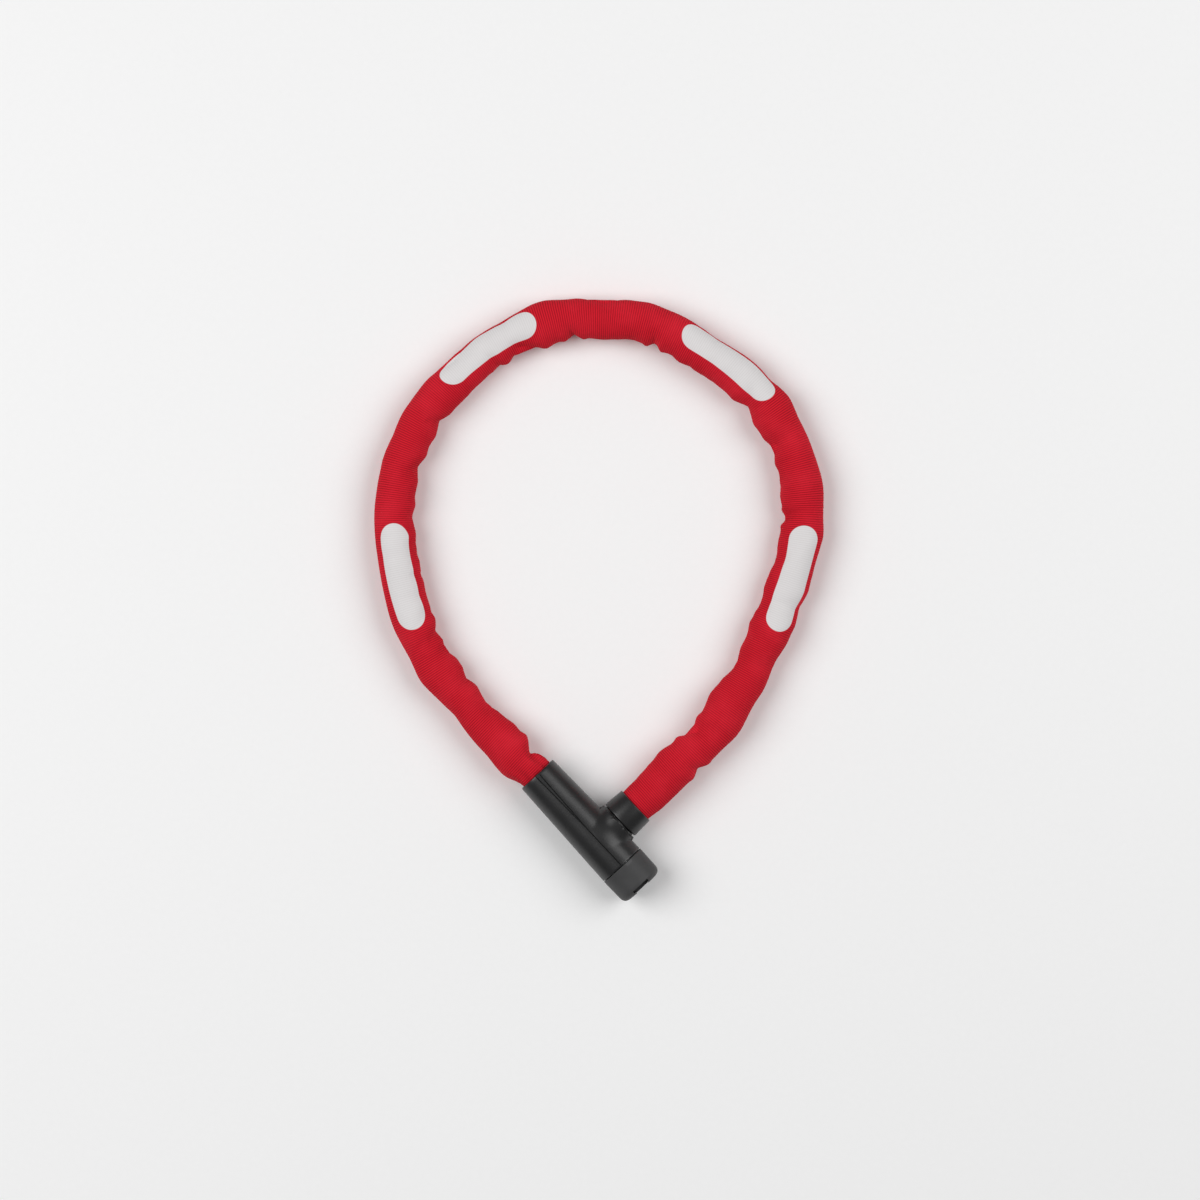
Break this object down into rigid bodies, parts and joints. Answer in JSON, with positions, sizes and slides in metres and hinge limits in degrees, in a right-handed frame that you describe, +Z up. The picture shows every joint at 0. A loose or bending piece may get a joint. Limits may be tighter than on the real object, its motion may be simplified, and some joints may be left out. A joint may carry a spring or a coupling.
{
  "type": "chain lock",
  "caption": "Loop of square-section chain in a woven fabric sleeve, closed by a tapered key lock with a push-in locking stud.",
  "frame": {"origin": "middle of the outline, on the surface that the lock and chain lie on", "axes": "+Y from the lock to the far end of the loop, +Z up from the surface, +X towards the strand that holds the stud"},
  "size_m": [0.2612, 0.3494, 0.0284],
  "materials": {
    "sleeve_fabric": "woven, ribbed, matte",
    "casing_plastic": "fine satin",
    "cap_plastic": "soft matte",
    "hardened_steel": "hardened, satin",
    "plated_steel": "zinc plated",
    "cylinder_brass": "machined",
    "cylinder_zinc": "die cast"
  },
  "bodies": {
    "lock_body": {"casing_stud_half": "casing_plastic", "casing_back_half": "casing_plastic", "end_cap": "cap_plastic", "sleeve_clamp_ring": "plated_steel", "steel_body": "hardened_steel", "anchor_pin": "hardened_steel", "stud_guide_bush": "cylinder_brass", "cylinder_housing": "cylinder_zinc", "cylinder_pin": "hardened_steel", "latch_spring": "plated_steel", "fabric_sleeve": "sleeve_fabric"},
    "key_plug": {"plug": "cylinder_brass", "plug_clip": "plated_steel", "wafer_1": "cylinder_brass", "wafer_2": "cylinder_brass", "wafer_3": "cylinder_brass", "wafer_4": "cylinder_brass", "wafer_spring_1": "plated_steel", "wafer_spring_2": "plated_steel", "wafer_spring_3": "plated_steel", "wafer_spring_4": "plated_steel"},
    "latch_bolt": {"latch": "hardened_steel"},
    "keyhole_slider": {"keyhole_cover": "casing_plastic"},
    "stud": {"locking_stud": "hardened_steel", "stud_link_pin": "hardened_steel", "stud_collar": "casing_plastic", "sleeve_end_band": "plated_steel"},
    "link_01_body": {"link_01": "plated_steel"},
    "chain_run_1": {"link_02": "plated_steel", "link_03": "plated_steel", "link_04": "plated_steel", "link_05": "plated_steel"},
    "chain_run_2": {"link_06": "plated_steel", "link_07": "plated_steel", "link_08": "plated_steel", "link_09": "plated_steel"},
    "chain_run_3": {"link_10": "plated_steel", "link_11": "plated_steel", "link_12": "plated_steel", "link_13": "plated_steel"},
    "chain_run_4": {"link_14": "plated_steel", "link_15": "plated_steel", "link_16": "plated_steel", "link_17": "plated_steel"},
    "chain_run_5": {"link_18": "plated_steel", "link_19": "plated_steel", "link_20": "plated_steel", "link_21": "plated_steel"},
    "chain_run_6": {"link_22": "plated_steel", "link_23": "plated_steel", "link_24": "plated_steel", "link_25": "plated_steel"},
    "chain_run_7": {"link_26": "plated_steel", "link_27": "plated_steel", "link_28": "plated_steel", "link_29": "plated_steel"},
    "chain_run_8": {"link_30": "plated_steel", "link_31": "plated_steel", "link_32": "plated_steel", "link_33": "plated_steel"}
  },
  "joints": [
    {"name": "plug_turn", "type": "hinge", "parent": "lock_body", "child": "key_plug", "pos_m": [0.01229, -0.15258, 0.0142], "axis": [0.682, -0.7314, 0], "range_deg": [0, 90]},
    {"name": "latch_slide", "type": "slide", "parent": "lock_body", "child": "latch_bolt", "axis": [0, 0, 1], "range_m": [0, 0.00227], "deforming": ["latch_spring"]},
    {"name": "keyhole_cover_slide", "type": "slide", "parent": "lock_body", "child": "keyhole_slider", "axis": [0, 0, 1], "range_m": [0, 0.0075]},
    {"name": "stud_slide", "type": "slide", "parent": "lock_body", "child": "stud", "axis": [0.7314, 0.682, 0], "range_m": [0, 0.028], "deforming": ["fabric_sleeve"]},
    {"name": "chain_swivel_8", "type": "hinge", "parent": "stud", "child": "chain_run_8", "pos_m": [0.02122, -0.11964, 0.0142], "axis": [0, 0, 1], "range_deg": [-2.24, 0]},
    {"name": "chain_swivel_7", "type": "hinge", "parent": "chain_run_8", "child": "chain_run_7", "pos_m": [0.08218, -0.05253, 0.01102], "axis": [0, 0, 1], "range_deg": [0, 4.34]},
    {"name": "chain_swivel_6", "type": "hinge", "parent": "chain_run_7", "child": "chain_run_6", "pos_m": [0.11743, 0.03245, 0.0111], "axis": [0, 0, 1], "range_deg": [0, 2.54]},
    {"name": "chain_swivel_5", "type": "hinge", "parent": "chain_run_6", "child": "chain_run_5", "pos_m": [0.09293, 0.11836, 0.0111], "axis": [0, 0, 1], "range_deg": [-0.74, 0]},
    {"name": "chain_swivel_4", "type": "hinge", "parent": "chain_run_5", "child": "chain_run_4", "pos_m": [0.01341, 0.16236, 0.0111], "axis": [0, 0, 1], "range_deg": [-1.54, 0]},
    {"name": "chain_swivel_3", "type": "hinge", "parent": "chain_run_4", "child": "chain_run_3", "pos_m": [-0.07302, 0.13682, 0.0111], "axis": [0, 0, 1], "range_deg": [-2.15, 0]},
    {"name": "chain_swivel_2", "type": "hinge", "parent": "chain_run_3", "child": "chain_run_2", "pos_m": [-0.11845, 0.05917, 0.0111], "axis": [0, 0, 1], "range_deg": [-3.45, 0]},
    {"name": "chain_swivel_1", "type": "hinge", "parent": "chain_run_2", "child": "chain_run_1", "pos_m": [-0.09943, -0.03005, 0.0111], "axis": [0, 0, 1], "range_deg": [-2.21, 0]},
    {"name": "link_01_swivel", "type": "hinge", "parent": "chain_run_1", "child": "link_01_body", "pos_m": [-0.0381, -0.09838, 0.01432], "axis": [0, 0, 1], "range_deg": [0, 5.41]}
  ],
  "couplings": [
    {"joint": "latch_slide", "follows": "plug_turn", "m_per_rad": 0.0014407},
    {"joint": "chain_swivel_8", "follows": "stud_slide", "rad_per_m": -1.3899},
    {"joint": "chain_swivel_7", "follows": "stud_slide", "rad_per_m": 2.6987},
    {"joint": "chain_swivel_6", "follows": "stud_slide", "rad_per_m": 1.5751},
    {"joint": "chain_swivel_5", "follows": "stud_slide", "rad_per_m": -0.45312},
    {"joint": "chain_swivel_4", "follows": "stud_slide", "rad_per_m": -0.94849},
    {"joint": "chain_swivel_3", "follows": "stud_slide", "rad_per_m": -1.3331},
    {"joint": "chain_swivel_2", "follows": "stud_slide", "rad_per_m": -2.1426},
    {"joint": "chain_swivel_1", "follows": "stud_slide", "rad_per_m": -1.371},
    {"joint": "link_01_swivel", "follows": "stud_slide", "rad_per_m": 3.3644}
  ]
}
